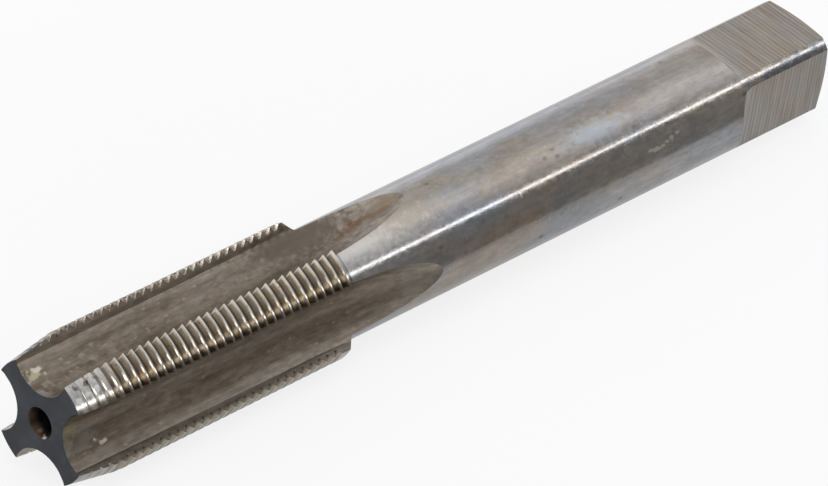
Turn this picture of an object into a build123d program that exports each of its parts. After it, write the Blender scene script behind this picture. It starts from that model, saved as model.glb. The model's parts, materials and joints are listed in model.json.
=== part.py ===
from build123d import *
from math import asin, cos, degrees, radians, sin, sqrt, tan
import os

# A straight-fluted hand tap, one piece of hardened tool steel. Millimetres and degrees.
# Its axis is +X, from the middle of the tip (the origin) to the drive square.
# It lies as it comes to rest, on two of its lands, with one flute facing up (+Z).

# Thread
thread_diameter = 20.0
thread_pitch = 1.5
crest_flat = 0.19
thread_angle = 60.0
shallowest_gap = 0.06
thread_start = 0.2
thread_length = 47.6
shoulder_angle = 45.0

# Cutting lead at the tip
tip_diameter = 17.6
lead_length = 7.9

# Flutes
flute_count = 4
land_angle = 30.4
hook_angle = 13.0
cutting_face_depth = 1.85
core_diameter = 8.7
core_taper = 0.5
flute_straight_length = 42.0
run_out_radius = 82.0

# Shank and drive square
overall_length = 142.2
shank_diameter = 16.5
end_bevel_length = 0.5
end_bevel_width = 2.2
square_across_flats = 12.9
square_length = 16.0
square_turn = 9.2
square_foot_radius = 0.6

# Centre holes in both ends
centre_mouth_diameter = 4.5
centre_pilot_diameter = 2.0
centre_pilot_depth = 4.4
centre_angle = 60.0

# How far a cutter runs past what it cuts
overcut = 1.0
groove_overcut = 0.1
groove_overlap_angle = 8.0

thread_radius = thread_diameter / 2
shank_radius = shank_diameter / 2
flute_spacing = 360 / flute_count

# The blank as it is turned: cutting lead, thread, shoulder, shank and the shallow bevel of the end
shoulder_end = thread_length + (thread_radius - shank_radius) / tan(radians(shoulder_angle))
with BuildPart() as tap_body:
    with BuildSketch(Plane.XZ) as turned_profile:
        with BuildLine():
            Polyline(
                (0, 0),
                (0, tip_diameter / 2),
                (lead_length, thread_radius),
                (thread_length, thread_radius),
                (shoulder_end, shank_radius),
                (overall_length - end_bevel_length, shank_radius),
                (overall_length, shank_radius - end_bevel_width),
                (overall_length, 0),
                close=True,
            )
        make_face()
    revolve(axis=Axis.X)

# The cutter of one flute. Its section is a round root between two flat cutting faces, which meet the
# crests with a hook. It climbs a little along a core that thickens towards the shank, then leaves on
# the curve of a disc cutter.
core_radius = core_diameter / 2
core_slope = tan(radians(core_taper))
mouth_angle = (flute_spacing - land_angle) / 2
mouth_half_width = thread_radius * sin(radians(mouth_angle))
mouth_height = thread_radius * cos(radians(mouth_angle)) - core_radius
face_tilt = mouth_angle - hook_angle
flute_start = Plane(
    origin=(-overcut, 0, core_radius - overcut * core_slope),
    x_dir=(0, 1, 0),
    z_dir=(1, 0, core_slope),
)
flute_run = (flute_straight_length + overcut) / cos(radians(core_taper))
run_out_angle = degrees(2 * asin(sqrt(thread_radius / 2 / run_out_radius)))
cutter_centre = flute_start.offset(flute_run).from_local_coords((0, run_out_radius, 0))
with BuildPart() as flute_cutter:
    with BuildSketch(flute_start) as flute_section:
        with BuildLine():
            left_foot = PolarLine(
                (-mouth_half_width, mouth_height), cutting_face_depth, 270 + face_tilt
            )
            right_foot = PolarLine(
                (mouth_half_width, mouth_height), cutting_face_depth, 270 - face_tilt
            )
            ThreePointArc(left_foot @ 1, (0, 0), right_foot @ 1)
            left_side = PolarLine(left_foot @ 0, thread_radius, 90 + face_tilt)
            right_side = PolarLine(right_foot @ 0, thread_radius, 90 - face_tilt)
            Line(left_side @ 1, right_side @ 1)
        make_face()
    extrude(amount=flute_run)
    run_out_section = flute_cutter.faces().sort_by(Axis.X)[-1]
    revolve(run_out_section, axis=Axis(cutter_centre, (0, -1, 0)), revolution_arc=run_out_angle)

with tap_body:
    for flute in range(flute_count):
        add(flute_cutter.part.rotate(Axis.X, flute * flute_spacing), mode=Mode.SUBTRACT)

# The cutter of one tooth gap on one land: a short arc of a ring, in place of the helix's short arc.
# On each next land the gaps lie one land's share of the pitch further on, as on a right-hand screw.
flank_slope = tan(radians(thread_angle / 2))
gap_mouth = thread_pitch - crest_flat
gap_top = gap_mouth + 2 * groove_overcut * flank_slope
root_radius = thread_radius - gap_mouth / 2 / flank_slope
gap_arc = land_angle + 2 * groove_overlap_angle
with BuildPart() as gap_cutter:
    with BuildSketch(Plane.XZ) as gap_section:
        with BuildLine():
            Polyline(
                (0, root_radius),
                (gap_top / 2, thread_radius + groove_overcut),
                (-gap_top / 2, thread_radius + groove_overcut),
                close=True,
            )
        make_face()
    revolve(axis=Axis.X, revolution_arc=gap_arc)

centred_gap = gap_cutter.part.rotate(Axis.X, -gap_arc / 2)
gaps_along = int(thread_length / thread_pitch)
tip_radius = tip_diameter / 2
first_gap_place = lead_length * (root_radius + shallowest_gap - tip_radius) / (thread_radius - tip_radius)
tooth_gaps = []
for land in range(flute_count):
    land_gap = centred_gap.rotate(Axis.X, flute_spacing * (land + 0.5))
    for turn in range(gaps_along):
        gap_place = thread_start + (turn + land / flute_count) * thread_pitch
        if gap_place > first_gap_place:
            tooth_gaps.append(land_gap.moved(Location((gap_place, 0, 0))))

with tap_body:
    add(tooth_gaps, mode=Mode.SUBTRACT)

# The drive square: four milled flats that leave the shank's round at their corners
flat_distance = square_across_flats / 2
flat_cut_depth = shank_radius - flat_distance + overcut
with BuildPart() as flat_cutter:
    with Locations((overall_length - square_length, 0, flat_distance)):
        Box(
            square_length + overcut,
            shank_diameter + overcut,
            flat_cut_depth,
            align=(Align.MIN, Align.CENTER, Align.MIN),
        )
    foot_edge = flat_cutter.edges().filter_by(Axis.Y).sort_by(Axis.X)[:2].sort_by(Axis.Z)[0]
    fillet(foot_edge, radius=square_foot_radius)

with tap_body:
    for flat in range(4):
        add(flat_cutter.part.rotate(Axis.X, square_turn + 90 * flat), mode=Mode.SUBTRACT)

# A centre hole in each end: a cone, then a pilot
centre_cone_depth = (centre_mouth_diameter - centre_pilot_diameter) / 2 / tan(radians(centre_angle / 2))
with BuildPart() as centre_drill:
    with BuildSketch(Plane.XZ) as drill_profile:
        with BuildLine():
            Polyline(
                (0, 0),
                (0, centre_mouth_diameter / 2),
                (centre_cone_depth, centre_pilot_diameter / 2),
                (centre_pilot_depth, centre_pilot_diameter / 2),
                (centre_pilot_depth, 0),
                close=True,
            )
        make_face()
    revolve(axis=Axis.X)

with tap_body:
    add(centre_drill.part, mode=Mode.SUBTRACT)
    add(centre_drill.part.rotate(Axis.Z, 180).moved(Location((overall_length, 0, 0))), mode=Mode.SUBTRACT)

os.makedirs("parts", exist_ok=True)
tap_body.part.label = "tap_body"
export_step(tap_body.part, "parts/tap_body.step")
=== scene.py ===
import json
import math

import bpy
import numpy as np
from mathutils import Matrix, Vector


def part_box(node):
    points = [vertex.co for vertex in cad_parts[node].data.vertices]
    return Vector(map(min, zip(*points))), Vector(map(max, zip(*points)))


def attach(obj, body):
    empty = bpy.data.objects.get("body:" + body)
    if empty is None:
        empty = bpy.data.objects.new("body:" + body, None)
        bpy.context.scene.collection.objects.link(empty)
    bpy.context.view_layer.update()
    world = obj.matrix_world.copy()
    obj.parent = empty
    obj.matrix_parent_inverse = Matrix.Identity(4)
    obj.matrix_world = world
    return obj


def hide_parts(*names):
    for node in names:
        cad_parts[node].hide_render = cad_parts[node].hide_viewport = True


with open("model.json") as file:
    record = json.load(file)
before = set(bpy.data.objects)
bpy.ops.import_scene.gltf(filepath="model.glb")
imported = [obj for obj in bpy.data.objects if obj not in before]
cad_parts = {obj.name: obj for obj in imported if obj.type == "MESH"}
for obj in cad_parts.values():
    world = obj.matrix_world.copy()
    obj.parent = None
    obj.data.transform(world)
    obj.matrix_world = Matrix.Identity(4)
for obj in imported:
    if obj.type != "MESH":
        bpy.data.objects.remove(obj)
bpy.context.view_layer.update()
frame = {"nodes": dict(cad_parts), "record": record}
print("frame loaded:", sorted(frame["nodes"]))

mm = 0.001
nodeLow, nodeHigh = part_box("tap_body")
shankMount = next(m for m in frame["record"]["mounts"] if m["name"] == "shank")

# the ground steel surface: all lengths in millimetres, angles in degrees
tapForm = {
    "length": nodeHigh.x / mm,
    "crestRadius": 10.0,
    "pitch": 1.5,
    "crestFlat": 0.19,
    "flankAngle": 30.0,        # of each flank, from square to the axis
    "rootRounding": 0.17,
    "threadStart": 0.2,
    "threadEnd": 47.6,
    "shoulderAngle": 45.0,
    "shallowestGap": 0.06,
    "tipRadius": 8.8,
    "leadLength": 7.9,
    "shankRadius": shankMount["dims"]["r_mm"],
    "landAngle": 30.4,
    "hookAngle": 13.0,
    "faceDepth": 1.85,
    "coreRadius": 4.35,
    "coreTaper": 0.5,
    "fluteStraight": 42.0,
    "runOutRadius": 82.0,
    "runOutReach": 25.0,       # past the straight part, beyond the last of every flute
    "bevelLength": 0.5,
    "bevelWidth": 2.2,
    "squareHalf": 6.45,
    "squareLength": 16.0,
    "squareTurn": 9.2,
    "footRadius": 2.6,
    "holeMouth": 2.25,
    "holePilot": 1.0,
    "holeDepth": 4.4,
    "holeAngle": 30.0,
}
gridCounts = {"rootArc": 8, "face": 4, "land": 16, "shoulderRows": 5, "runOutRows": 40, "shankRows": 26,
    "footRows": 9, "flatRows": 8, "corner": 8}
# where the columns slide on the shank, in millimetres, and the narrowest half section of a flute
gridSlides = {"toEven": 9, "toSquare": 14, "toFoot": 12, "footEase": 0.5, "narrowest": 0.35}
sharpAngle = 17

form = tapForm
flankSlope = math.tan(math.radians(form["flankAngle"]))
gapMouth = form["pitch"] - form["crestFlat"]
rootRadius = form["crestRadius"] - gapMouth / 2 / flankSlope
coreSlope = math.tan(math.radians(form["coreTaper"]))
mouthAngle = math.radians((90 - form["landAngle"]) / 2)
faceTilt = mouthAngle - math.radians(form["hookAngle"])
footAcross = form["crestRadius"] * math.sin(mouthAngle) - form["faceDepth"] * math.sin(faceTilt)
mouthUp = form["crestRadius"] * math.cos(mouthAngle) - form["coreRadius"]
footUp = mouthUp - form["faceDepth"] * math.cos(faceTilt)
rootArcRadius = (footAcross ** 2 + footUp ** 2) / (2 * footUp)
footLength = rootArcRadius * math.asin(footAcross / rootArcRadius)
climbX = form["fluteStraight"] - form["runOutRadius"] * math.sin(math.radians(form["coreTaper"]))
climbUp = (form["coreRadius"] + coreSlope * form["fluteStraight"]
    + form["runOutRadius"] * math.cos(math.radians(form["coreTaper"])))
shoulderEnd = form["threadEnd"] + (form["crestRadius"] - form["shankRadius"]) / math.tan(
    math.radians(form["shoulderAngle"]))
runOutEnd = form["fluteStraight"] + form["runOutReach"]
squareStart = form["length"] - form["squareLength"]


def blankRadius(x):
    # the turned bar before any flute or tooth: straight lines through its corners
    crest, shank = form["crestRadius"], form["shankRadius"]
    corners = [0, form["leadLength"], form["threadEnd"], shoulderEnd, form["length"]]
    return np.interp(x, corners, [form["tipRadius"], crest, crest, shank, shank])


def fluteSection(s):
    # s runs along the half section: a circle's arc to the foot, then a straight line at the face's tilt
    turn = np.minimum(s, footLength) / rootArcRadius
    past = np.maximum(s - footLength, 0)
    across = rootArcRadius * np.sin(turn) + past * math.sin(faceTilt)
    up = rootArcRadius * (1 - np.cos(turn)) + past * math.cos(faceTilt)
    return across, up


def fluteHeight(x, up):
    # the section slides along the rising core, then swings round the disc cutter's centre
    straight = form["coreRadius"] + coreSlope * x + up
    swing = climbUp - np.sqrt(np.maximum((form["runOutRadius"] - up) ** 2 - (x - climbX) ** 2, 0))
    return np.where(x < form["fluteStraight"], straight, swing)


def mouthLength(x, radius):
    # how far along the half section it meets the circle of that radius, found by halving
    low, high = np.zeros_like(x), np.full_like(x, footLength + 6)
    for _ in range(34):
        middle = (low + high) / 2
        across, up = fluteSection(middle)
        inside = np.hypot(across, fluteHeight(x, up)) < radius
        low, high = np.where(inside, middle, low), np.where(inside, high, middle)
    return (low + high) / 2


def threadRows():
    # station x and radius of each row on each of the four lands, as two arrays of rows by lands
    # twelve stations a pitch sit on root, flanks and crest corners of every land at once
    steps = np.array([0, 1, 3, 4, 5, 7, 8, 9, 11, 12, 13, 15]) / 16
    pitch = form["pitch"]
    turns = np.arange(int(form["threadEnd"] / pitch) + 2)
    base = (form["threadStart"] + (turns[:, None] + steps[None, :]) * pitch).ravel()
    base = base[base < form["threadEnd"] - 0.12][:, None]
    land = np.arange(4)[None, :]
    share = (base - form["threadStart"]) / pitch - land / 4
    gap = np.floor(share + 0.5)
    u = share - gap
    centre = base - u * pitch
    cone = (form["crestRadius"] - form["tipRadius"]) / form["leadLength"]
    slope = np.where(centre < form["leadLength"], cone, 0) * np.sign(u)
    depth = blankRadius(centre) - rootRadius
    cut = (depth > form["shallowestGap"]) & (gap >= 0) & (centre + gapMouth / 2 < form["threadEnd"])
    edge = np.clip(depth / (1 / flankSlope - slope) / pitch, 0.03, 7 / 16)
    edge = np.where(cut, edge, 7 / 16)
    near = u * edge * 16 / 7
    far = np.sign(u) * (0.5 - (0.5 - np.abs(u)) * (0.5 - edge) * 16)
    warped = np.where(np.abs(u) <= 7 / 16, near, far)
    x = centre + warped * pitch
    rounding = form["rootRounding"] * np.clip(depth / (form["crestRadius"] - rootRadius), 0, 1)
    groove = rootRadius + np.hypot(warped * pitch / flankSlope, rounding)
    radius = np.where(cut, np.minimum(groove, blankRadius(x)), blankRadius(x))
    return x, radius


def bodyRows():
    # every row from the tip's face to where the drive square begins
    x, radius = threadRows()
    plain = np.concatenate([
        np.linspace(form["threadEnd"], shoulderEnd, gridCounts["shoulderRows"]),
        np.linspace(shoulderEnd, runOutEnd, gridCounts["runOutRows"])[1:],
        np.linspace(runOutEnd, squareStart, gridCounts["shankRows"])[1:-1],
    ])
    first = np.zeros((1, 4))
    plain = np.repeat(plain[:, None], 4, 1)
    stations = np.vstack([first, x, plain])
    radii = np.vstack([blankRadius(first), radius, blankRadius(plain)])
    twisted = np.zeros(len(stations))
    twisted[1:1 + len(x)] = 1        # only the toothed rows follow the helix
    return stations, radii, twisted


def bodyGrid():
    # columns go round the section: half a flute, one land, half the next flute, four times over
    arc, face, land = gridCounts["rootArc"], gridCounts["face"], gridCounts["land"]
    stations, radii, twisted = bodyRows()
    twist = form["pitch"] * form["landAngle"] / 360 / 2 * twisted[:, None]
    lowX, highX = stations - twist, stations + twist
    lowLength = np.maximum(mouthLength(lowX, radii), gridSlides["narrowest"])
    highLength = np.maximum(mouthLength(highX, radii), gridSlides["narrowest"])
    half = arc + face
    share = np.arange(half + 1)

    def alongHalf(length):
        foot = np.minimum(footLength, 0.9 * length)[:, None]
        onArc = foot * share[None, :arc] / arc
        onFace = foot + (length[:, None] - foot) * (share[None, arc:] - arc) / face
        return np.hstack([onArc, onFace])

    def place(x, length, side, centre):
        across, up = fluteSection(alongHalf(length))
        height = np.minimum(fluteHeight(x, up), np.sqrt(blankRadius(x) ** 2 - across ** 2))
        across = across * side
        y = height * math.cos(centre) - across * math.sin(centre)
        z = height * math.sin(centre) + across * math.cos(centre)
        return np.stack([x, y, z], 2)

    parts = []
    for k in range(4):
        start = math.radians(90 + 90 * k)
        end = start + math.pi / 2
        before, after = (k - 1) % 4, (k + 1) % 4
        t = 0.5 + 0.5 * share[None, :] / half
        x = highX[:, before, None] + (lowX[:, k, None] - highX[:, before, None]) * t
        rising = place(x, lowLength[:, k], 1, start)
        t = 0.5 - 0.5 * share[None, :] / half
        x = highX[:, k, None] + (lowX[:, after, None] - highX[:, k, None]) * t
        falling = place(x, highLength[:, k], -1, end)[:, ::-1]
        lowAngle = np.arctan2(rising[:, -1, 2], rising[:, -1, 1]) % (2 * math.pi)
        lowAngle = start + (lowAngle - start + math.pi) % (2 * math.pi) - math.pi
        highAngle = np.arctan2(falling[:, 0, 2], falling[:, 0, 1])
        highAngle = end + (highAngle - end + math.pi) % (2 * math.pi) - math.pi
        t = np.arange(1, land)[None, :] / land
        angle = lowAngle[:, None] + (highAngle - lowAngle)[:, None] * t
        x = lowX[:, k, None] + (highX[:, k] - lowX[:, k])[:, None] * t
        radius = np.minimum(radii[:, k, None], blankRadius(x))
        onLand = np.stack([x, radius * np.cos(angle), radius * np.sin(angle)], 2)
        parts += [rising, onLand, falling[:, :-1]]
    return np.concatenate(parts, 1)


def squareAngles(columns):
    # where the columns stand on the square: most on the flats, a few on each round corner
    onCorner = gridCounts["corner"]
    onFlat = columns // 4 - onCorner
    reach = math.acos(form["squareHalf"] / form["shankRadius"])
    flat = np.linspace(-reach, reach, onFlat, endpoint=False)
    corner = np.linspace(reach, math.pi / 2 - reach, onCorner, endpoint=False)
    quarter = np.concatenate([flat, corner])
    turned = math.radians(90 + form["squareTurn"])
    return np.concatenate([quarter + turned + q * math.pi / 2 for q in range(4)])


def tapGrid():
    body = bodyGrid()
    rows, columns = body.shape[:2]
    even = math.radians(90) + np.arange(columns) * 2 * math.pi / columns
    onSquare = squareAngles(columns)
    shift = int(np.argmin(np.abs(onSquare - even[0] - 2 * math.pi * (onSquare > even[0] + math.pi))))
    onSquare = np.roll(onSquare, -shift)
    onSquare = even + (onSquare - even + math.pi) % (2 * math.pi) - math.pi

    # on the plain shank the columns slide into even steps, then into the square's own steps
    x = body[:, :, 0]
    angle = np.arctan2(body[:, :, 2], body[:, :, 1])
    angle = even + (angle - even + math.pi) % (2 * math.pi) - math.pi
    first = np.clip((x - runOutEnd) / gridSlides["toEven"], 0, 1)
    second = np.clip((x - squareStart + gridSlides["toSquare"]) / gridSlides["toSquare"], 0, 1)
    angle = angle + (even - angle) * first * first * (3 - 2 * first)
    angle = angle + (onSquare - angle) * second * second * (3 - 2 * second)
    plain = x > runOutEnd
    body[:, :, 1] = np.where(plain, form["shankRadius"] * np.cos(angle), body[:, :, 1])
    body[:, :, 2] = np.where(plain, form["shankRadius"] * np.sin(angle), body[:, :, 2])

    # the square: each column comes down the cutter's round to its flat, then runs to the bevel;
    # the round's start lies further forward where the flat is deeper
    spot = (onSquare - math.radians(form["squareTurn"]) + math.pi / 4) % (math.pi / 2) - math.pi / 4
    away = form["shankRadius"] * np.cos(spot) - form["squareHalf"]
    drop = np.maximum(away, 0)
    foot = form["footRadius"]
    share = np.linspace(0, 1, gridCounts["footRows"])[:, None]
    climb = np.arccos(1 - drop / foot)[None, :] * (1 - share)
    level = foot * (1 - np.cos(climb))
    footX = squareStart - foot * np.sin(climb) + gridSlides["footEase"] * share
    forward = np.clip((body[:, :, 0] - squareStart + gridSlides["toFoot"]) / gridSlides["toFoot"], 0, 1)
    body[:, :, 0] -= forward * (squareStart - footX[0])[None, :]
    radius = (form["squareHalf"] + level) / np.cos(spot)
    radius = np.where(away > 0, radius, form["shankRadius"])
    squareRadius = np.where(away > 0, form["squareHalf"] / np.cos(spot), form["shankRadius"])
    bevelStart = form["length"] - form["bevelLength"] * (
        1 - (form["shankRadius"] - squareRadius) / form["bevelWidth"])
    middle = np.linspace(0, 1, gridCounts["flatRows"])[1:, None]
    flatX = footX[-1] + (bevelStart - footX[-1]) * middle
    rimRadius = form["shankRadius"] - form["bevelWidth"]
    ring = np.ones(columns)
    squareX = np.vstack([footX, flatX])
    squareR = np.vstack([radius, np.repeat(squareRadius[None], len(flatX), 0)])

    # both ends close in a drilled centre: face, cone, pilot and its floor
    coneDepth = (form["holeMouth"] - form["holePilot"]) / math.tan(math.radians(form["holeAngle"]))
    depths = [0, 0, coneDepth / 2, coneDepth, form["holeDepth"], form["holeDepth"]]
    faceRadius = (rimRadius + form["holeMouth"]) / 2
    middleRadius = (form["holeMouth"] + form["holePilot"]) / 2
    radii = [faceRadius, form["holeMouth"], middleRadius, form["holePilot"], form["holePilot"], 0.5]
    endX = np.vstack([form["length"] * ring] + [(form["length"] - d) * ring for d in depths])
    endR = np.vstack([rimRadius * ring] + [r * ring for r in radii])
    tailX, tailR = np.vstack([squareX, endX]), np.vstack([squareR, endR])
    tail = np.stack([tailX, tailR * np.cos(onSquare), tailR * np.sin(onSquare)], 2)

    # the tip's face: the star outline shrinks to a ring that cuts each land off at its neck
    star = body[0]
    arc, face, land = gridCounts["rootArc"], gridCounts["face"], gridCounts["land"]
    mouth = np.stack([0 * ring, form["holeMouth"] * np.cos(even), form["holeMouth"] * np.sin(even)], 1)
    neck = star.copy()
    quarter = columns // 4
    for k in range(4):
        low, high = k * quarter + arc, k * quarter + arc + 2 * face + land
        t = (np.arange(low, high + 1) - low)[:, None] / (high - low)
        neck[low:high + 1] = star[low] + (star[high] - star[low]) * t
    neck = neck + (mouth - neck) * 0.12
    halfWay = (neck + mouth) / 2
    tipDepths = [form["holeDepth"], form["holeDepth"], coneDepth, coneDepth / 2, 0]
    tipRadii = [0.5, form["holePilot"], form["holePilot"], middleRadius, form["holeMouth"]]
    hole = np.stack([
        np.stack([d * ring, r * np.cos(even), r * np.sin(even)], 1) for d, r in zip(tipDepths, tipRadii)])
    grid = np.concatenate([hole, halfWay[None], neck[None], body, tail])
    counts = {"hole": len(hole), "face": 2, "body": rows, "square": len(squareX), "end": len(endX)}
    print("tap grid:", grid.shape[:2], counts)
    return grid, counts


def buildTap():
    grid, counts = tapGrid()
    rows, columns = grid.shape[:2]
    poles = np.array([[form["holeDepth"], 0, 0], [form["length"] - form["holeDepth"], 0, 0]])
    vertices = np.vstack([grid.reshape(-1, 3), poles]) * mm
    index = np.arange(rows * columns).reshape(rows, columns)
    around = np.roll(index, -1, 1)
    quads = np.stack([index[:-1], around[:-1], around[1:], index[1:]], 2).reshape(-1, 4)
    tipFan = np.stack([np.full(columns, rows * columns), around[0], index[0]], 1)
    endFan = np.stack([index[-1], around[-1], np.full(columns, rows * columns + 1)], 1)
    mesh = bpy.data.meshes.new("tapSteel")
    mesh.from_pydata(vertices.tolist(), [], quads.tolist() + tipFan.tolist() + endFan.tolist())
    mesh.validate()

    # one finish a zone: which rows and columns carry it
    arc, face, land = gridCounts["rootArc"], gridCounts["face"], gridCounts["land"]
    inQuarter = np.arange(columns) % (columns // 4)
    onLand = (inQuarter >= arc + face) & (inQuarter < arc + face + land)
    x = (grid[:-1, :, 0] + grid[1:, :, 0]) / 2
    zone = np.full((rows - 1, columns), finishNames.index("shank"))
    holeRows, bodyRow = counts["hole"], counts["hole"] + counts["face"]
    squareRow = bodyRow + counts["body"]
    endRow = squareRow + counts["square"]
    zone[:holeRows - 1] = finishNames.index("centreHole")
    zone[holeRows - 1:bodyRow] = finishNames.index("tipFace")
    bodyZone = zone[bodyRow:squareRow - 1]
    bodyX = x[bodyRow:squareRow - 1]
    deep = fluteHeight(bodyX, 0 * bodyX) < blankRadius(bodyX) - 0.01
    bodyZone[:] = np.where(onLand[None, :] & (bodyX < shoulderEnd), finishNames.index("thread"), bodyZone)
    bodyZone[:] = np.where(~onLand[None, :] & deep, finishNames.index("flute"), bodyZone)
    radial = np.hypot(grid[..., 1], grid[..., 2])
    onFlat = (radial[squareRow + gridCounts["footRows"]] < form["shankRadius"] - 0.02)
    onFlat = onFlat | np.roll(onFlat, -1)
    square = zone[squareRow:endRow]
    square[:] = np.where(onFlat[None, :], finishNames.index("square"), square)
    zone[endRow:endRow + 1] = finishNames.index("square")
    zone[endRow + 1:] = finishNames.index("endFace")
    zone[endRow + 3:] = finishNames.index("centreHole")
    inHole = np.full(columns, finishNames.index("centreHole"))
    finishOf = np.concatenate([zone.ravel(), inHole, inHole])
    mesh.polygons.foreach_set("material_index", finishOf)
    for name in finishNames:
        mesh.materials.append(finishes[name])
    mesh.polygons.foreach_set("use_smooth", np.ones(len(mesh.polygons), bool))
    mesh.set_sharp_from_angle(angle=math.radians(sharpAngle))

    # on the ground shank every normal points straight out from the axis
    corner = np.zeros(len(mesh.loops), np.int32)
    mesh.loops.foreach_get("vertex_index", corner)
    sides = np.zeros(len(mesh.polygons), np.int32)
    mesh.polygons.foreach_get("loop_total", sides)
    onShank = np.repeat(finishOf == finishNames.index("shank"), sides)
    outward = vertices[corner] * (0, 1, 1)
    outward /= np.maximum(np.linalg.norm(outward, axis=1, keepdims=True), 1e-9)
    mesh.normals_split_custom_set(np.where(onShank[:, None], outward, 0).tolist())
    mesh.update()
    tap = bpy.data.objects.new("tapSteel", mesh)
    bpy.context.scene.collection.objects.link(tap)
    print("tap surface:", len(mesh.vertices), "points,", len(mesh.polygons), "faces")
    return tap


finishNames = ["shank", "thread", "flute", "square", "tipFace", "endFace", "centreHole"]
finishes = {}


def newGroup(name, inputs, outputs):
    group = bpy.data.node_groups.new(name, "ShaderNodeTree")
    for label, kind, value in inputs:
        socket = group.interface.new_socket(label, in_out="INPUT", socket_type="NodeSocket" + kind)
        socket.default_value = value
    for label, kind in outputs:
        group.interface.new_socket(label, in_out="OUTPUT", socket_type="NodeSocket" + kind)
    return group, group.nodes.new("NodeGroupInput"), group.nodes.new("NodeGroupOutput")


def feed(links, socket, value):
    # a socket takes another node's output, or else a set value
    if isinstance(value, bpy.types.NodeSocket):
        links.new(value, socket)
    else:
        socket.default_value = value


def mathNode(nodes, links, kind, *values):
    node = nodes.new("ShaderNodeMath")
    node.operation = kind
    for index, value in enumerate(values):
        feed(links, node.inputs[index], value)
    return node.outputs[0]


def vectorNode(nodes, links, kind, *values):
    node = nodes.new("ShaderNodeVectorMath")
    node.operation = kind
    for index, value in enumerate(values):
        feed(links, node.inputs[index], value)
    return node.outputs["Value" if kind == "LENGTH" else "Vector"]


def stretched(nodes, links, given):
    # the pattern's own coordinates: x, y and z each taken times their stretch
    return vectorNode(nodes, links, "MULTIPLY", given.outputs["Vector"], given.outputs["Stretch"])


def rangeOf(nodes, links, value, low, high):
    # 0 below the low bound and 1 above the high one, or the other way round, with a soft step
    node = nodes.new("ShaderNodeMapRange")
    node.interpolation_type = "SMOOTHSTEP"
    for socket, bound in (("Value", value), ("From Min", low), ("From Max", high)):
        feed(links, node.inputs[socket], bound)
    return node.outputs["Result"]


def noiseNode(nodes, links, vector, scale, **values):
    node = nodes.new("ShaderNodeTexNoise")
    feed(links, node.inputs["Vector"], vector)
    feed(links, node.inputs["Scale"], scale)
    for label, value in values.items():
        feed(links, node.inputs[label], value)
    return node.outputs["Fac"]


# the inputs that every pattern has
patternInputs = [("Vector", "Vector", (0, 0, 0)), ("Stretch", "Vector", (1, 1, 1))]


def buildNoiseGroup():
    # a cloud of noise, squeezed by the stretch, then cut between two levels
    group, given, made = newGroup("noiseMask", patternInputs + [
        ("Scale", "Float", 100.0), ("Detail", "Float", 5.0), ("Low", "Float", 0.35), ("High", "Float", 0.65)],
        [("Mask", "Float"), ("Raw", "Float")])
    nodes, links = group.nodes, group.links
    noise = noiseNode(nodes, links, stretched(nodes, links, given), given.outputs["Scale"],
        Detail=given.outputs["Detail"], Roughness=0.62)
    mask = rangeOf(nodes, links, noise, given.outputs["Low"], given.outputs["High"])
    links.new(mask, made.inputs["Mask"])
    links.new(noise, made.inputs["Raw"])
    return group


def buildPitGroup():
    # small round pits or bright flecks: cells of which only some are kept, each with a soft rim
    group, given, made = newGroup("pitMask", patternInputs + [
        ("Scale", "Float", 900.0), ("Radius", "Float", 0.3), ("Share", "Float", 0.2)], [("Mask", "Float")])
    nodes, links = group.nodes, group.links
    cells = nodes.new("ShaderNodeTexVoronoi")
    links.new(stretched(nodes, links, given), cells.inputs["Vector"])
    links.new(given.outputs["Scale"], cells.inputs["Scale"])
    spot = mathNode(nodes, links, "DIVIDE", cells.outputs["Distance"], given.outputs["Radius"])
    soft = rangeOf(nodes, links, spot, 1.0, 0.4)
    pick = nodes.new("ShaderNodeSeparateColor")
    links.new(cells.outputs["Color"], pick.inputs["Color"])
    kept = mathNode(nodes, links, "LESS_THAN", pick.outputs["Red"], given.outputs["Share"])
    links.new(mathNode(nodes, links, "MULTIPLY", soft, kept), made.inputs["Mask"])
    return group


def buildScratchGroup():
    # hairline scratches: the thin band where a drawn-out noise crosses its middle, broken up by another noise
    group, given, made = newGroup("scratchMask", patternInputs + [("Scale", "Float", 120.0),
        ("Width", "Float", 0.006)], [("Mask", "Float")])
    nodes, links = group.nodes, group.links
    line = noiseNode(nodes, links, stretched(nodes, links, given), given.outputs["Scale"], Detail=1.5)
    away = mathNode(nodes, links, "ABSOLUTE", mathNode(nodes, links, "SUBTRACT", line, 0.5))
    hair = rangeOf(nodes, links, away, given.outputs["Width"], 0.0)
    breaks = noiseNode(nodes, links, given.outputs["Vector"], 170)
    here = rangeOf(nodes, links, breaks, 0.55, 0.62)
    links.new(mathNode(nodes, links, "MULTIPLY", hair, here), made.inputs["Mask"])
    return group


def buildSpotGroup():
    # one spot round a point, drawn out by the stretch: 1 at the middle, 0 past the radius, with an
    # outline that a fine noise pushes in and out by up to most of the radius
    group, given, made = newGroup("spotMask", patternInputs + [("Centre", "Vector", (0, 0, 0)),
        ("Radius", "Float", 0.001), ("Core", "Float", 0.0005)], [("Mask", "Float")])
    nodes, links = group.nodes, group.links
    away = vectorNode(nodes, links, "SUBTRACT", given.outputs["Vector"], given.outputs["Centre"])
    drawn = vectorNode(nodes, links, "MULTIPLY", away, given.outputs["Stretch"])
    length = vectorNode(nodes, links, "LENGTH", drawn)
    rough = noiseNode(nodes, links, given.outputs["Vector"], 1000, Detail=3)
    push = nodes.new("ShaderNodeMapRange")
    bounds = {"Value": rough, "From Min": 0.3, "From Max": 0.7, "To Min": 0.5, "To Max": 1.7}
    for label, value in bounds.items():
        feed(links, push.inputs[label], value)
    ragged = mathNode(nodes, links, "MULTIPLY", length, push.outputs["Result"])
    mask = rangeOf(nodes, links, ragged, given.outputs["Radius"], given.outputs["Core"])
    links.new(mask, made.inputs["Mask"])
    return group


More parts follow.
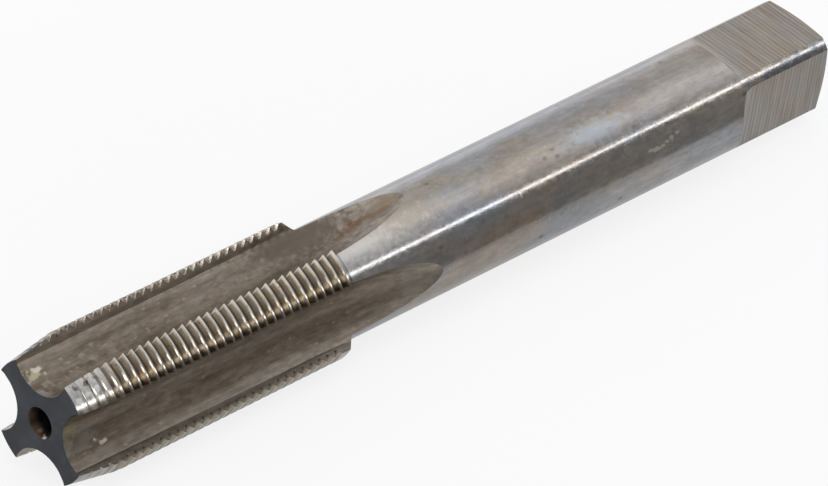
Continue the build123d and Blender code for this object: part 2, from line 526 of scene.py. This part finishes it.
def buildTurnGroup():
    # where a point stands round the axis: how far from it, at which angle and how far along it
    group, given, made = newGroup("roundAxis", [("Vector", "Vector", (0, 0, 0))],
        [("Radius", "Float"), ("Angle", "Float"), ("Along", "Float")])
    nodes, links = group.nodes, group.links
    parts = nodes.new("ShaderNodeSeparateXYZ")
    links.new(given.outputs["Vector"], parts.inputs[0])
    across = vectorNode(nodes, links, "MULTIPLY", given.outputs["Vector"], (0, 1, 1))
    links.new(vectorNode(nodes, links, "LENGTH", across), made.inputs["Radius"])
    turn = mathNode(nodes, links, "ARCTAN2", parts.outputs["Z"], parts.outputs["Y"])
    links.new(turn, made.inputs["Angle"])
    links.new(parts.outputs["X"], made.inputs["Along"])
    return group


effects = {"noise": buildNoiseGroup(), "pits": buildPitGroup(), "scratches": buildScratchGroup(),
    "spot": buildSpotGroup(), "round": buildTurnGroup()}


class Finish:
    # one material on the steel, with short calls for what its colour, roughness and bump are made of
    def __init__(self, name):
        self.material = bpy.data.materials.new(name)
        self.material.use_nodes = True
        self.nodes, self.links = self.material.node_tree.nodes, self.material.node_tree.links
        self.shader = self.nodes["Principled BSDF"]
        self.place = self.nodes.new("ShaderNodeTexCoord").outputs["Object"]

    def effect(self, kind, output="Mask", **values):
        node = self.nodes.new("ShaderNodeGroup")
        node.node_tree = effects[kind]
        self.links.new(self.place, node.inputs["Vector"])
        for key, value in values.items():
            node.inputs[key].default_value = value
        return node.outputs[output]

    def blend(self, mask, a, b, kind="MIX"):
        node = self.nodes.new("ShaderNodeMix")
        node.data_type = "RGBA"
        node.blend_type = kind
        for socket, value in (("Factor", mask), ("A", a), ("B", b)):
            feed(self.links, node.inputs[socket], (*value, 1) if isinstance(value, tuple) else value)
        return node.outputs["Result"]

    def math(self, kind, *values):
        return mathNode(self.nodes, self.links, kind, *values)

    def between(self, value, low, high, fromLow=0.0, fromHigh=1.0):
        node = self.nodes.new("ShaderNodeMapRange")
        node.inputs["From Min"].default_value, node.inputs["From Max"].default_value = fromLow, fromHigh
        node.inputs["To Min"].default_value, node.inputs["To Max"].default_value = low, high
        self.links.new(value, node.inputs["Value"])
        return node.outputs["Result"]

    def ramp(self, value, stops):
        node = self.nodes.new("ShaderNodeValToRGB")
        self.links.new(value, node.inputs["Fac"])
        while len(node.color_ramp.elements) < len(stops):
            node.color_ramp.elements.new(0.5)
        for element, (position, colour) in zip(node.color_ramp.elements, stops):
            element.position = position
            element.color = (*colour, 1)
        return node.outputs["Color"]

    def shade(self, colour, value, dark, light, mask=1.0):
        # the colour taken times a grey between two stops, each a place on the value and a level
        grey = self.ramp(value, [(dark[0], (dark[1],) * 3), (light[0], (light[1],) * 3)])
        return self.blend(mask, colour, grey, "MULTIPLY")

    def tint(self, colour, mask, share, other):
        return self.blend(self.math("MULTIPLY", mask, share), colour, other)

    def awayFrom(self, angle):
        # how far round the axis a point is from that angle, either way
        here = self.math("SUBTRACT", self.effect("round", "Angle"), math.radians(angle))
        return self.math("ABSOLUTE", here)

    def finish(self, colour, roughness, height, metallic, depth):
        self.links.new(colour, self.shader.inputs["Base Color"])
        self.links.new(roughness, self.shader.inputs["Roughness"])
        self.shader.inputs["Metallic"].default_value = metallic
        bump = self.nodes.new("ShaderNodeBump")
        bump.inputs["Strength"].default_value = 1.0
        bump.inputs["Distance"].default_value = depth
        self.links.new(height, bump.inputs["Height"])
        self.links.new(bump.outputs["Normal"], self.shader.inputs["Normal"])
        return self.material


def onTap(x, angle, radius):
    # a point of the tap from millimetres along it, degrees round it and millimetres from its axis
    turn = math.radians(angle)
    return (x * mm, radius * mm * math.cos(turn), radius * mm * math.sin(turn))


def paintMarks(paint, colour, marks):
    # a mark: its place on the tap, radius, stretch, colour, strength and the share of the radius that is full
    for place, radius, stretch, tint, strength, core in marks:
        mask = paint.effect("spot", Centre=onTap(*place), Stretch=stretch, Radius=radius * mm,
            Core=radius * mm * core)
        colour = paint.tint(colour, mask, strength, tint)
    return colour


# a pale scratch along and round the shank: millimetres from the tip, degrees
wavyScratch = [(105.5, 163.2), (106.2, 164.8), (107.1, 165.2), (107.9, 164), (108.7, 161.8), (109.7, 160),
    (110.9, 158)]
shankLook = {
    "cool": (0.435, 0.45, 0.485), "warm": (0.50, 0.437, 0.375), "pale": (0.56, 0.555, 0.55),
    "grime": (0.20, 0.17, 0.145), "roughness": (0.11, 0.22),
    "marks": [
        ((98, 121, 8.25), 2.6, (0.35, 1, 1), (0.50, 0.56, 0.62), 0.55, 0.1),
        ((66.9, 140.5, 8.25), 0.35, (0.6, 1, 1), (0.16, 0.14, 0.12), 0.8, 0.3),
        ((81.2, 146, 8.25), 0.4, (1.6, 0.5, 0.5), (0.85, 0.84, 0.82), 0.9, 0.3),
        ((84.5, 200, 8.25), 0.45, (0.6, 1, 1), (0.13, 0.12, 0.13), 0.8, 0.3),
        ((100.0, 202, 8.25), 0.5, (0.7, 1, 1), (0.12, 0.12, 0.14), 0.8, 0.3),
        *[((*place, 8.25), 0.4, (0.55, 1, 1), (0.86, 0.85, 0.82), 0.75, 0.4) for place in wavyScratch],
        ((62, 112, 8.25), 5.0, (0.35, 1, 1), (0.56, 0.49, 0.40), 0.6, 0.1),
        ((52, 122, 8.25), 3.8, (0.3, 1, 1), (0.72, 0.68, 0.62), 0.65, 0.1),
        # painted shade: dims the reflected highlight on the lower half of the square's round corner to
        # blue-grey
        ((134.5, 146.2, 8.25), 0.95, (0.09, 1, 1), (0.19, 0.215, 0.25), 0.85, 0.5),
        ((75, 150, 8.25), 3.4, (0.2, 1, 1), (0.40, 0.45, 0.52), 0.45, 0.1),
    ],
}


def shankFinish(look):
    paint = Finish("shankSteel")
    clouds = paint.effect("noise", Stretch=(0.35, 1, 1), Scale=130.0, Low=0.38, High=0.62)
    patches = paint.effect("noise", Stretch=(0.5, 1, 1), Scale=55.0, Low=0.5, High=0.68)
    lines = paint.effect("noise", "Raw", Stretch=(0.03, 1, 1), Scale=1500.0, Detail=4.0)
    fine = paint.effect("noise", "Raw", Stretch=(0.5, 1, 1), Scale=1400.0, Detail=5.0)
    flecks = paint.effect("pits", Scale=1100.0, Radius=0.33, Share=0.12)
    pits = paint.effect("pits", Stretch=(0.7, 1, 1), Scale=700.0, Radius=0.3, Share=0.07)
    hairs = paint.effect("scratches", Stretch=(0.3, 1, 1), Scale=160.0, Width=0.004)
    colour = paint.blend(clouds, look["warm"], look["cool"])
    colour = paint.tint(colour, patches, 0.5, look["pale"])
    colour = paint.shade(colour, lines, (0.3, 0.84), (0.65, 1))
    colour = paint.shade(colour, fine, (0.3, 0.82), (0.6, 1))
    mottle = paint.effect("noise", "Raw", Stretch=(0.6, 1, 1), Scale=480.0, Detail=4.0)
    colour = paint.shade(colour, mottle, (0.36, 0.9), (0.62, 1.06))
    colour = paint.tint(colour, flecks, 0.5, look["pale"])
    colour = paint.tint(colour, pits, 0.55, look["grime"])
    colour = paint.tint(colour, hairs, 0.45, look["grime"])
    colour = paintMarks(paint, colour, look["marks"])
    rough = paint.between(fine, *look["roughness"], 0.3, 0.7)
    waves = paint.effect("noise", "Raw", Stretch=(1.9, 1, 1), Scale=1500.0, Detail=1.0)
    height = paint.math("ADD", waves, paint.math("MULTIPLY", pits, -0.6))
    return paint.finish(colour, rough, height, 1.0, 0.000007)


threadLook = {
    "root": (0.06, 0.045, 0.03), "flank": (0.52, 0.45, 0.36), "crest": (0.66, 0.63, 0.59),
    "lead": (0.74, 0.72, 0.69), "gold": (0.56, 0.43, 0.23), "roughness": (0.10, 0.2),
    "marks": [
        ((1.2, 127, 8.95), 0.55, (0.8, 1, 1), (0.10, 0.07, 0.045), 0.8, 0.3),
        ((2.9, 126, 9.2), 0.5, (0.8, 1, 1), (0.10, 0.07, 0.045), 0.8, 0.3),
        ((4.5, 126, 9.45), 0.5, (0.8, 1, 1), (0.12, 0.08, 0.05), 0.7, 0.3),
        # painted highlights: three white patches on the lead's crests
        ((0.8, 137, 8.9), 0.7, (0.8, 1, 1), (0.92, 0.92, 0.92), 0.9, 0.4),
        ((2.4, 135.5, 9.1), 0.7, (0.8, 1, 1), (0.92, 0.88, 0.78), 0.9, 0.4),
        ((3.9, 134, 9.35), 0.65, (0.8, 1, 1), (0.92, 0.92, 0.92), 0.8, 0.4),
        # painted shade: the lower edge of the front land darkened along the thread
        ((24, 149.5, 9.8), 1.2, (0.02, 1, 1), (0.10, 0.08, 0.06), 0.65, 0.4),
        ((2.8, 47, 9.2), 2.6, (0.6, 0.8, 0.8), (0.10, 0.115, 0.16), 0.85, 0.4),
    ],
}


def threadFinish(look):
    paint = Finish("threadSteel")
    radius = paint.effect("round", "Radius")
    high = paint.between(radius, 0.0, 1.0, (rootRadius + 0.1) * mm, form["crestRadius"] * mm)
    clouds = paint.effect("noise", Stretch=(0.6, 1, 1), Scale=420.0, Low=0.4, High=0.62)
    gold = paint.effect("noise", Stretch=(0.25, 1, 1), Scale=330.0, Low=0.54, High=0.66)
    lines = paint.effect("noise", "Raw", Stretch=(1, 0.2, 0.2), Scale=2600.0, Detail=4.0)
    pits = paint.effect("pits", Scale=1600.0, Radius=0.32, Share=0.14)
    colour = paint.tint(look["flank"], gold, 0.4, look["gold"])
    colour = paint.tint(colour, clouds, 0.22, look["crest"])
    # painted shade: the teeth darken from the crest down into the gaps
    colour = paint.shade(colour, high, (0.04, 0.3), (0.55, 1))
    # painted shade: the gaps are darker on the lands that don't face up towards the front
    shadedLands = paint.between(paint.awayFrom(135), 0.0, 1.0, math.radians(17), math.radians(22))
    colour = paint.shade(colour, high, (0.1, 0.12), (0.75, 1), shadedLands)
    lead = paint.between(paint.effect("round", "Along"), 1.0, 0.0, 4.5 * mm, 7.5 * mm)
    colour = paint.tint(colour, lead, 0.7, look["lead"])
    colour = paint.blend(paint.between(high, 0.0, 1.0, 0.93, 0.98), colour, look["crest"])
    colour = paint.shade(colour, lines, (0.3, 0.7), (0.65, 1))
    colour = paint.tint(colour, pits, 0.6, look["root"])
    colour = paintMarks(paint, colour, look["marks"])
    rough = paint.between(lines, *look["roughness"], 0.3, 0.7)
    return paint.finish(colour, rough, lines, 1.0, 0.000006)


fluteLook = {
    "dark": (0.222, 0.180, 0.141), "middle": (0.295, 0.247, 0.197), "light": (0.46, 0.40, 0.335),
    "rim": (0.62, 0.57, 0.50), "runOut": (0.50, 0.44, 0.375), "rust": (0.24, 0.13, 0.06),
    "roughness": (0.34, 0.5),
    "marks": [
        ((0.4, 100, 4.6), 1.5, (1.3, 0.55, 1.1), (0.46, 0.41, 0.43), 0.8, 0.2),
        ((1.0, 168, 4.8), 1.7, (0.9, 0.9, 0.6), (0.36, 0.33, 0.19), 0.7, 0.2),
        ((0.3, 203, 5.2), 1.5, (1.2, 0.8, 0.6), (0.33, 0.34, 0.31), 0.7, 0.2),
        ((1.7, 61.5, 5.9), 0.78, (0.6, 1, 1), (0.50, 0.46, 0.31), 0.85, 0.5),
        ((2.7, 60, 6.5), 0.5, (0.6, 1, 1), (0.72, 0.67, 0.57), 0.9, 0.5),
        ((0.6, 221, 7.2), 0.9, (0.7, 1, 1), (0.85, 0.84, 0.80), 0.9, 0.5),
        ((6.3, 208.8, 6.1), 0.34, (0.35, 1, 1), (0.80, 0.74, 0.64), 0.9, 0.4),
        ((5.0, 205, 5.5), 0.3, (1, 1, 1), (0.8, 0.76, 0.68), 0.9, 0.4),
        ((3.4, 200, 5.0), 1.5, (0.6, 1, 0.7), (0.30, 0.295, 0.26), 0.6, 0.2),
        ((0.9, 262, 5.5), 2.4, (0.8, 0.8, 0.8), (0.9, 0.89, 0.87), 0.95, 0.6),
        ((1.2, 334, 7.2), 2.4, (0.6, 1, 1), (0.70, 0.69, 0.68), 0.9, 0.5),
        ((9.0, 104, 5.7), 4.2, (0.3, 1, 1), (0.50, 0.43, 0.355), 0.6, 0.1),
        ((30.0, 104, 6.2), 2.6, (0.14, 1, 1), (0.45, 0.385, 0.32), 0.5, 0.1),
        ((49.0, 66, 7.2), 4.2, (0.35, 1, 1), (0.15, 0.12, 0.098), 0.85, 0.3),
        ((56.0, 112, 7.4), 3.0, (0.3, 1, 1), (0.60, 0.545, 0.485), 0.75, 0.2),
        ((55.0, 84, 6.4), 1.0, (0.12, 1, 1), (0.22, 0.12, 0.06), 0.75, 0.2),
        ((60.0, 90, 7.3), 0.9, (0.14, 1, 1), (0.26, 0.15, 0.085), 0.7, 0.2),
        ((62.5, 84, 7.8), 1.8, (0.4, 1, 0.9), (0.38, 0.29, 0.21), 0.6, 0.1),
        ((60.5, 188, 7.3), 1.6, (0.3, 1, 0.9), (0.40, 0.37, 0.34), 0.5, 0.1),
    ],
}


def fluteFinish(look):
    paint = Finish("fluteSteel")
    drawn = paint.effect("noise", "Raw", Stretch=(0.025, 1, 1), Scale=1500.0, Detail=5.0)
    broad = paint.effect("noise", Stretch=(0.1, 1, 1), Scale=420.0, Low=0.36, High=0.64)
    clouds = paint.effect("noise", Stretch=(0.4, 1, 1), Scale=160.0, Low=0.42, High=0.64)
    rust = paint.effect("noise", Stretch=(0.12, 1, 1), Scale=220.0, Low=0.56, High=0.7)
    flecks = paint.effect("pits", Stretch=(0.6, 1, 1), Scale=1300.0, Radius=0.34, Share=0.16)
    mottle = paint.effect("noise", "Raw", Stretch=(0.35, 1, 1), Scale=1500.0, Detail=5.0)
    rim = paint.between(paint.effect("round", "Radius"), 0.0, 1.0, 7.2 * mm, 9.4 * mm)
    colour = paint.blend(broad, look["dark"], look["middle"])
    colour = paint.tint(colour, clouds, 0.3, look["light"])
    colour = paint.tint(colour, rust, 0.4, look["rust"])
    # painted light: the cutting faces are brighter near the crests, but not on the face below the front land,
    # which lies in shade
    bright = paint.between(paint.awayFrom(160), 0.0, 0.58, math.radians(10), math.radians(26))
    rim = paint.math("MULTIPLY", rim, bright)
    colour = paint.blend(rim, colour, look["rim"])
    late = paint.between(paint.effect("round", "Along"), 0.0, 0.62, 47 * mm, 62 * mm)
    colour = paint.blend(late, colour, look["runOut"])
    colour = paint.shade(colour, drawn, (0.32, 0.72), (0.66, 1.03))
    colour = paint.shade(colour, mottle, (0.32, 0.72), (0.64, 1.12))
    colour = paint.tint(colour, flecks, 0.45, look["light"])
    colour = paintMarks(paint, colour, look["marks"])
    rough = paint.between(drawn, *look["roughness"], 0.3, 0.7)
    return paint.finish(colour, rough, drawn, 1.0, 0.00001)


squareLook = {"warm": (0.50, 0.44, 0.385), "cool": (0.50, 0.475, 0.45), "pale": (0.80, 0.78, 0.75),
    "edge": 0.16, "lineSpacing": 0.7, "roughness": (0.26, 0.4)}


def squareFinish(look, name="squareSteel"):
    # milling marks: even bands along the axis, broken by drawn-out noise
    paint = Finish(name)
    wave = paint.nodes.new("ShaderNodeTexWave")
    wave.inputs["Scale"].default_value = 2 * math.pi / (20 * look["lineSpacing"] * mm)
    wave.inputs["Distortion"].default_value = 3.0
    wave.inputs["Detail"].default_value = 3
    wave.inputs["Detail Scale"].default_value = 0.4
    paint.links.new(paint.place, wave.inputs["Vector"])
    grain = paint.effect("noise", "Raw", Stretch=(1, 0.05, 0.05), Scale=2200.0, Detail=5.0)
    clouds = paint.effect("noise", Scale=160.0, Low=0.4, High=0.62)
    colour = paint.blend(clouds, look["warm"], look["cool"])
    colour = paint.shade(colour, wave.outputs["Color"], (0.08, 0.82), (0.5, 1.03))
    colour = paint.shade(colour, grain, (0.32, 0.68), (0.64, 1))
    # painted highlight: a pale band where the cutter's round runs onto the flat
    foot = paint.between(paint.effect("round", "Along"), look["edge"], 0.0, squareStart * mm,
        (squareStart + 0.5) * mm)
    colour = paint.blend(foot, colour, look["pale"])
    rough = paint.between(grain, *look["roughness"], 0.3, 0.7)
    height = paint.math("ADD", paint.math("MULTIPLY", wave.outputs["Fac"], 0.6), grain)
    return paint.finish(colour, rough, height, 1.0, 0.000012)


tipLook = {"slate": (0.030, 0.034, 0.043), "pale": (0.045, 0.050, 0.061), "roughness": (0.42, 0.55)}


def tipFinish(look):
    paint = Finish("tipFaceSteel")
    clouds = paint.effect("noise", Scale=260.0, Low=0.4, High=0.64)
    fine = paint.effect("noise", "Raw", Scale=2400.0)
    colour = paint.blend(clouds, look["slate"], look["pale"])
    colour = paint.shade(colour, fine, (0.35, 0.85), (0.6, 1))
    rough = paint.between(fine, *look["roughness"], 0.3, 0.7)
    material = paint.finish(colour, rough, fine, 0.0, 0.000006)
    paint.shader.inputs["Specular IOR Level"].default_value = 0.3
    return material


holeLook = {"deep": (0.003, 0.003, 0.004), "brown": (0.075, 0.05, 0.033), "rim": (0.10, 0.085, 0.07),
    "marks": [
        # painted highlight: a white glint on the mouth's lower rim
        ((0.15, 250, 2.15), 0.5, (1, 1, 1), (0.95, 0.93, 0.90), 0.95, 0.5),
        # painted light: the lit brown wall on the hole's lower side
        ((0.6, 292, 1.95), 0.6, (1, 1, 1), (0.16, 0.105, 0.065), 0.8, 0.3),
    ]}


def holeFinish(look):
    paint = Finish("centreHoleSteel")
    radius = paint.effect("round", "Radius")
    # painted shade: the hole darkens from its mouth towards its floor
    out = paint.between(radius, 0.0, 1.0, form["holePilot"] * mm, form["holeMouth"] * mm)
    clouds = paint.effect("noise", "Raw", Scale=900.0)
    stops = [(0.4, look["deep"]), (0.8, look["brown"]), (0.88, look["brown"]), (0.94, look["rim"])]
    colour = paint.ramp(out, stops)
    colour = paint.shade(colour, clouds, (0.3, 0.6), (0.65, 1))
    colour = paintMarks(paint, colour, look["marks"])
    return paint.finish(colour, paint.between(clouds, 0.3, 0.45), clouds, 0.9, 0.00001)


finishes["shank"] = shankFinish(shankLook)
finishes["thread"] = threadFinish(threadLook)
finishes["flute"] = fluteFinish(fluteLook)
finishes["square"] = squareFinish(squareLook)
finishes["tipFace"] = tipFinish(tipLook)
finishes["endFace"] = squareFinish({**squareLook, "lineSpacing": 0.9}, "endFaceSteel")
finishes["centreHole"] = holeFinish(holeLook)
print("finishes:", len(finishes))

tap = buildTap()
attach(tap, "root")
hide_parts("tap_body")


def nodeSetup(name):
    material = bpy.data.materials.new(name)
    material.use_nodes = True
    nodes, links = material.node_tree.nodes, material.node_tree.links
    return material, nodes, links, nodes["Principled BSDF"]


def lookedAt(nodes, links):
    # 1 where the camera, a reflection or a refraction looks, so that the white adds no light to the tap
    path = nodes.new("ShaderNodeLightPath")
    either = mathNode(nodes, links, "MAXIMUM", path.outputs["Is Camera Ray"], path.outputs["Is Glossy Ray"])
    return path, mathNode(nodes, links, "MAXIMUM", either, path.outputs["Is Transmission Ray"])


# floor: pale and plain, fading to the white ground away from the tap
floorLook = {
    "size": 3.0, "colour": (0.84, 0.84, 0.84), "fadeFrom": 0.05, "fadeTo": 0.15, "nearWhite": 0.82,
    "spread": 0.025,
    "levels": [(0.1, 0.44), (0.45, 0.6), (0.8, 0.53), (0.91, 0.54), (0.96, 0.58), (1.0, 0.72)],
}


def buildFloor():
    look = floorLook
    restX = form["threadEnd"] * mm
    endX = form["length"] * mm
    low = nodeLow.z
    slope = (-form["shankRadius"] * mm - low) / (endX - restX)
    side = np.array([-1, 1]) * look["size"]
    x, y = [a.ravel() for a in np.meshgrid(side, side, indexing="ij")]
    z = low + (x - restX) * slope
    mesh = bpy.data.meshes.new("floor")
    mesh.from_pydata(np.stack([x, y, z], 1).tolist(), [], [(0, 2, 3, 1)])
    floor = bpy.data.objects.new("floor", mesh)
    bpy.context.scene.collection.objects.link(floor)
    material, nodes, links, shader = nodeSetup("paleFloor")
    shader.inputs["Base Color"].default_value = (*look["colour"], 1)
    shader.inputs["Roughness"].default_value = 0.9
    shader.inputs["Specular IOR Level"].default_value = 0.1
    white = nodes.new("ShaderNodeEmission")
    seen, looked = lookedAt(nodes, links)
    place = nodes.new("ShaderNodeTexCoord")
    shifted = vectorNode(nodes, links, "SUBTRACT", place.outputs["Object"], (endX / 2, 0, 0))
    far = vectorNode(nodes, links, "LENGTH", shifted)
    fade = nodes.new("ShaderNodeMapRange")
    fade.interpolation_type = "SMOOTHSTEP"
    fade.inputs["From Min"].default_value = look["fadeFrom"]
    fade.inputs["From Max"].default_value = look["fadeTo"]
    fade.inputs["To Min"].default_value = look["nearWhite"]
    links.new(far, fade.inputs["Value"])
    most = mathNode(nodes, links, "MAXIMUM", fade.outputs["Result"], seen.outputs["Is Glossy Ray"])
    both = mathNode(nodes, links, "MULTIPLY", most, looked)

    # the steel sees the floor a little darker on the near side than under and behind the tap
    across = nodes.new("ShaderNodeSeparateXYZ")
    links.new(place.outputs["Object"], across.inputs[0])
    spread = nodes.new("ShaderNodeMapRange")
    spread.inputs["From Min"].default_value = -look["spread"]
    spread.inputs["From Max"].default_value = 0
    links.new(across.outputs["Y"], spread.inputs["Value"])
    levels = nodes.new("ShaderNodeValToRGB")
    while len(levels.color_ramp.elements) < len(look["levels"]):
        levels.color_ramp.elements.new(0.5)
    for element, (position, grey) in zip(levels.color_ramp.elements, look["levels"]):
        element.position = position
        element.color = (grey, grey, grey, 1)
    links.new(spread.outputs["Result"], levels.inputs["Fac"])
    tone = nodes.new("ShaderNodeMix")
    tone.data_type = "RGBA"
    tone.inputs["A"].default_value = (1, 1, 1, 1)
    links.new(seen.outputs["Is Glossy Ray"], tone.inputs["Factor"])
    links.new(levels.outputs["Color"], tone.inputs["B"])
    links.new(tone.outputs["Result"], white.inputs["Color"])
    blend = nodes.new("ShaderNodeMixShader")
    links.new(both, blend.inputs[0])
    links.new(shader.outputs[0], blend.inputs[1])
    links.new(white.outputs[0], blend.inputs[2])
    links.new(blend.outputs[0], nodes["Material Output"].inputs["Surface"])
    mesh.materials.append(material)
    return floor


buildFloor()

# studio: angles are seen along the tap's axis, 0 towards +Y, 90 straight up
studio = {
    "worldLight": 0.6,
    "strip": {"angle": 145.5, "distance": 0.7, "x": 0.6, "size": (1.6, 0.045), "radiance": 3.9},
    "overhead": {"angle": 100, "distance": 0.9, "x": 0.07, "size": (1.0, 0.7), "radiance": 1.3},
    "card": {"y": -0.0218, "top": 0.0136, "x": (-0.1, 0.32), "level": 0.25, "tint": (1.06, 1.0, 0.93)},
}
# panels of the tent: angle, level, tint
tentStops = [
    (0, 1.0, (0.97, 0.985, 1.05)), (12, 0.92, (0.97, 0.985, 1.04)), (24, 0.74, (1, 1, 1.01)),
    (40, 0.62, (1.02, 1, 0.98)), (70, 0.62, (1.02, 1, 0.97)), (85, 0.84, (1, 1, 1)),
    (105, 0.98, (0.985, 1, 1.03)), (118, 0.80, (0.985, 1, 1.04)), (130, 0.60, (0.99, 1, 1.04)),
    (140, 0.45, (1, 1, 1)), (150, 0.34, (1.03, 1, 0.95)), (165, 0.25, (1.04, 1, 0.93)),
    (180, 0.22, (1.04, 1, 0.93)),
]
# panel at the tip's end: height above the floor in metres, level
endPanel = {"x": -0.12, "half": 0.5,
    "stops": [(0, 0.03), (0.016, 0.06), (0.021, 0.3), (0.0245, 6.0), (0.0295, 6.0),
    (0.0325, 0.42), (0.046, 0.45), (0.053, 1.1), (0.07, 1.3), (0.12, 0.8), (0.4, 0.7)]}


def addLamp(name, look):
    angle = math.radians(look["angle"])
    lamp = bpy.data.lights.new(name, "AREA")
    lamp.shape = "RECTANGLE"
    lamp.size, lamp.size_y = look["size"]
    lamp.energy = look["radiance"] * math.pi * look["size"][0] * look["size"][1]
    holder = bpy.data.objects.new(name, lamp)
    out = Vector((0, math.cos(angle), math.sin(angle)))
    holder.location = out * look["distance"] + Vector((look["x"], 0, 0))
    holder.rotation_mode = "QUATERNION"
    across = Vector((1, 0, 0))
    holder.rotation_quaternion = Matrix((across, out.cross(across), out)).transposed().to_quaternion()
    bpy.context.scene.collection.objects.link(holder)
    return holder


addLamp("stripLamp", studio["strip"])
overhead = addLamp("overheadLamp", studio["overhead"])
overhead.visible_glossy = False


def glossOnly(thing):
    thing.visible_camera = thing.visible_diffuse = False
    thing.visible_shadow = thing.visible_transmission = False


def buildCard():
    # a dark card low on the near side, seen in the steel only: it gives the shank its dark band
    look = studio["card"]
    x, z = [a.ravel() for a in np.meshgrid(look["x"], [nodeLow.z, look["top"]], indexing="ij")]
    mesh = bpy.data.meshes.new("nearCard")
    mesh.from_pydata(np.stack([x, 0 * x + look["y"], z], 1).tolist(), [], [(0, 1, 3, 2)])
    card = bpy.data.objects.new("nearCard", mesh)
    bpy.context.scene.collection.objects.link(card)
    material, nodes, links, shader = nodeSetup("cardGrey")
    nodes.remove(shader)
    glow = nodes.new("ShaderNodeEmission")
    glow.inputs["Strength"].default_value = look["level"]
    glow.inputs["Color"].default_value = (*look["tint"], 1)
    links.new(glow.outputs[0], nodes["Material Output"].inputs["Surface"])
    mesh.materials.append(material)
    glossOnly(card)


def panelGlow(mesh, name, colours):
    # a glow whose colour comes from the mesh's own points
    tint = mesh.attributes.new("panel", "FLOAT_COLOR", "POINT")
    rgba = np.ones((len(colours), 4), np.float32)
    rgba[:, :3] = colours
    tint.data.foreach_set("color", rgba.ravel())
    material, nodes, links, shader = nodeSetup(name)
    nodes.remove(shader)
    read = nodes.new("ShaderNodeAttribute")
    read.attribute_name = "panel"
    glow = nodes.new("ShaderNodeEmission")
    links.new(read.outputs["Color"], glow.inputs["Color"])
    links.new(glow.outputs[0], nodes["Material Output"].inputs["Surface"])
    mesh.materials.append(material)


def buildEndPanel():
    # an upright panel off the tip's end, dark at its foot: the thread's flanks see it
    look = endPanel
    stops = np.array(look["stops"])
    rise = np.concatenate([np.linspace(0, 0.1, 41), np.linspace(0.12, 0.6, 13)])
    y, z = np.meshgrid([-look["half"], look["half"]], rise, indexing="ij")
    points = np.stack([0 * y + look["x"], y, z + nodeLow.z], 2).reshape(-1, 3)
    count = len(rise)
    i = np.arange(count - 1)
    mesh = bpy.data.meshes.new("endPanel")
    mesh.from_pydata(points.tolist(), [], np.stack([i, i + 1, i + 1 + count, i + count], 1).tolist())
    panel = bpy.data.objects.new("endPanel", mesh)
    bpy.context.scene.collection.objects.link(panel)
    level = np.interp(z.ravel(), stops[:, 0], stops[:, 1])
    panelGlow(mesh, "endPanelGrey", np.repeat(level[:, None], 3, 1))
    glossOnly(panel)


def buildTent():
    # half a tube of soft panels round the tap, seen in the steel only
    angle = np.radians(np.linspace(-2, 182, 93))
    radius = 0.95
    ends = np.array([-1.5, 2.0])
    x, a = np.meshgrid(ends, angle, indexing="ij")
    points = np.stack([x, radius * np.cos(a), radius * np.sin(a)], 2).reshape(-1, 3)
    count = len(angle)
    i = np.arange(count - 1)
    faces = np.stack([i, i + 1, i + 1 + count, i + count], 1)
    mesh = bpy.data.meshes.new("tent")
    mesh.from_pydata(points.tolist(), [], faces.tolist())
    tent = bpy.data.objects.new("tent", mesh)
    bpy.context.scene.collection.objects.link(tent)
    places = [stop[0] for stop in tentStops]
    colours = np.array([[stop[1] * c for c in stop[2]] for stop in tentStops])
    seenAt = np.degrees(a).ravel()
    panelGlow(mesh, "tentPanels", np.stack([np.interp(seenAt, places, colours[:, c]) for c in range(3)], 1))
    glossOnly(tent)


buildTent()
buildCard()
buildEndPanel()

world = bpy.data.worlds.new("studioWorld")
bpy.context.scene.world = world
world.use_nodes = True
worldNodes, worldLinks = world.node_tree.nodes, world.node_tree.links
light = worldNodes["Background"]
light.inputs["Strength"].default_value = studio["worldLight"]
light.inputs["Color"].default_value = (1, 1, 1, 1)
ground = worldNodes.new("ShaderNodeBackground")
ground.inputs["Color"].default_value = (1, 1, 1, 1)
blend = worldNodes.new("ShaderNodeMixShader")
worldLinks.new(lookedAt(worldNodes, worldLinks)[1], blend.inputs[0])
worldLinks.new(light.outputs[0], blend.inputs[1])
worldLinks.new(ground.outputs[0], blend.inputs[2])
worldLinks.new(blend.outputs[0], worldNodes["World Output"].inputs["Surface"])

# camera: a long lens from the tip end, aimed so that a point of the axis falls on its pixel
cameraPlace = {
    "azimuth": -45.45, "elevation": 31.15, "roll": 1.58, "distance": 1.0377, "focalPixels": 7733.1,
    "aimX": 0.065, "aimPixel": (398.84, 246.98), "image": (828, 486),
}


def buildCamera():
    look = cameraPlace
    azimuth, elevation, roll = (math.radians(look[key]) for key in ("azimuth", "elevation", "roll"))
    back = Vector((math.sin(azimuth) * math.cos(elevation), -math.cos(azimuth) * math.cos(elevation),
        math.sin(elevation)))
    level = Vector((math.cos(azimuth), math.sin(azimuth), 0))
    right = math.cos(roll) * level + math.sin(roll) * back.cross(level)
    up = back.cross(right)
    width, height = look["image"]
    across = (look["aimPixel"][0] - width / 2) / look["focalPixels"]
    down = (look["aimPixel"][1] - height / 2) / look["focalPixels"]
    data = bpy.data.cameras.new("camera")
    camera = bpy.data.objects.new("camera", data)
    data.sensor_width = 36
    data.lens = data.sensor_width * look["focalPixels"] / width
    data.clip_start, data.clip_end = 0.05, 20
    camera.rotation_mode = "QUATERNION"
    camera.rotation_quaternion = Matrix((right, up, back)).transposed().to_quaternion()
    camera.location = Vector((look["aimX"], 0, 0)) - (-back + right * across - up * down) * look["distance"]
    bpy.context.scene.collection.objects.link(camera)
    bpy.context.scene.camera = camera


buildCamera()
bpy.context.scene.view_settings.view_transform = "Standard"
